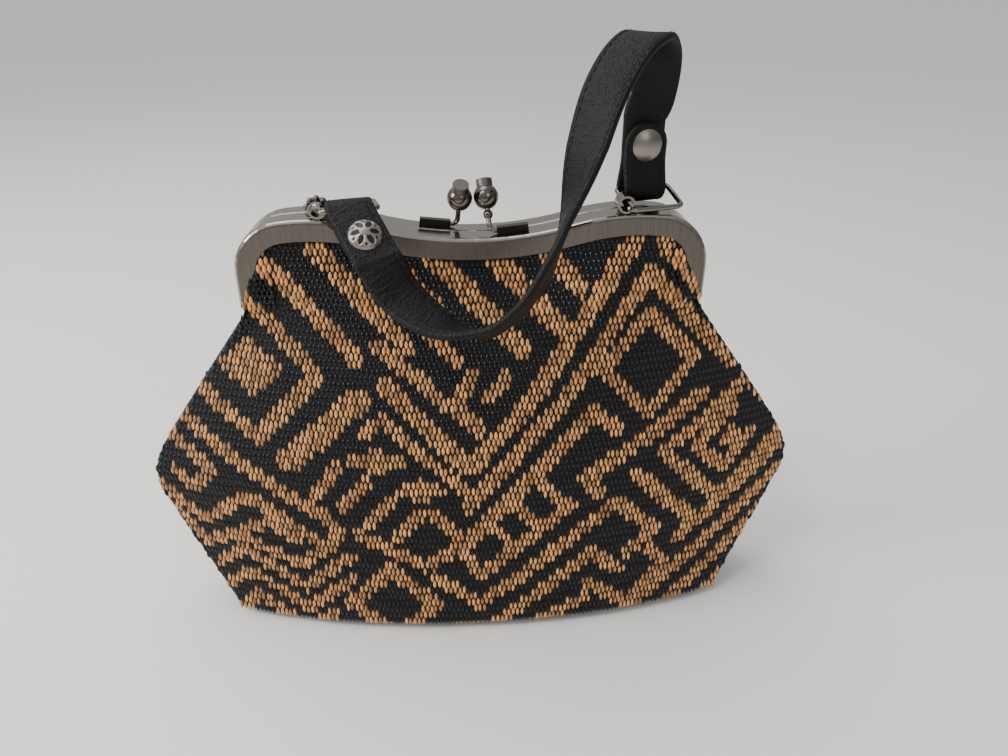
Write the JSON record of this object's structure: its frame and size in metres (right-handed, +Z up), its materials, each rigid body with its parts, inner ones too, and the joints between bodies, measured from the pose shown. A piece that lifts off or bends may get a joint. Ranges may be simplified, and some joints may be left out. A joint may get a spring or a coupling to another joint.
{
  "type": "frame handbag",
  "caption": "Handbag with a wide six-sided woven pouch, a hinged metal kiss-lock frame and a short leather strap riveted round wire rings.",
  "frame": {"origin": "centre of the base, on the surface the bag stands on", "axes": "+X to the bag's right seen from the front, +Y from the front to the back, +Z up"},
  "size_m": [0.278, 0.0952, 0.2433],
  "materials": {
    "straw_weave": "glossy tan and black straw yarn in a plain weave with a geometric pattern",
    "lining": "matt dark cloth",
    "brushed_gunmetal": "brushed gunmetal plate with a polished edge",
    "polished_gunmetal": "polished gunmetal plate",
    "black_leather": "black grained leather, stitched along both edges"
  },
  "bodies": {
    "pouch": {"front_panel": "straw_weave", "back_panel": "straw_weave", "front_lining": "lining", "back_lining": "lining"},
    "front_frame": {"front_rail": "brushed_gunmetal", "front_left_tab": "brushed_gunmetal", "front_right_tab": "brushed_gunmetal", "front_knob_foot": "brushed_gunmetal", "front_knob_post": "polished_gunmetal", "front_knob_collar": "polished_gunmetal", "front_knob_ball": "polished_gunmetal", "front_knob_cap": "polished_gunmetal", "left_strap_tube": "polished_gunmetal", "right_strap_tube": "polished_gunmetal", "left_ring": "polished_gunmetal", "right_ring": "polished_gunmetal"},
    "back_frame": {"back_rail": "brushed_gunmetal", "back_left_tab": "brushed_gunmetal", "back_right_tab": "brushed_gunmetal", "back_knob_foot": "brushed_gunmetal", "back_knob_post": "polished_gunmetal", "back_knob_ball": "polished_gunmetal", "back_knob_cap": "polished_gunmetal", "left_hinge_pin": "polished_gunmetal", "right_hinge_pin": "polished_gunmetal"},
    "handle": {"strap": "black_leather", "left_rivet_head": "polished_gunmetal", "left_rivet_cap": "polished_gunmetal", "right_rivet_head": "polished_gunmetal", "right_rivet_cap": "polished_gunmetal"}
  },
  "joints": [
    {"name": "front_frame_hinge", "type": "hinge", "parent": "pouch", "child": "front_frame", "pos_m": [0, 0, 0.1435], "axis": [1, 0, 0], "range_deg": [0, 45], "deforming": ["front_panel", "front_lining"]},
    {"name": "back_frame_hinge", "type": "hinge", "parent": "pouch", "child": "back_frame", "pos_m": [0, 0, 0.1435], "axis": [-1, 0, 0], "range_deg": [0, 45], "deforming": ["back_panel", "back_lining"]},
    {"name": "handle_swing", "type": "hinge", "parent": "front_frame", "child": "handle", "pos_m": [0.01033, -0.00464, 0.18637], "axis": [0.9841, 0.1766, 0.0182], "range_deg": [-70, 10]}
  ]
}
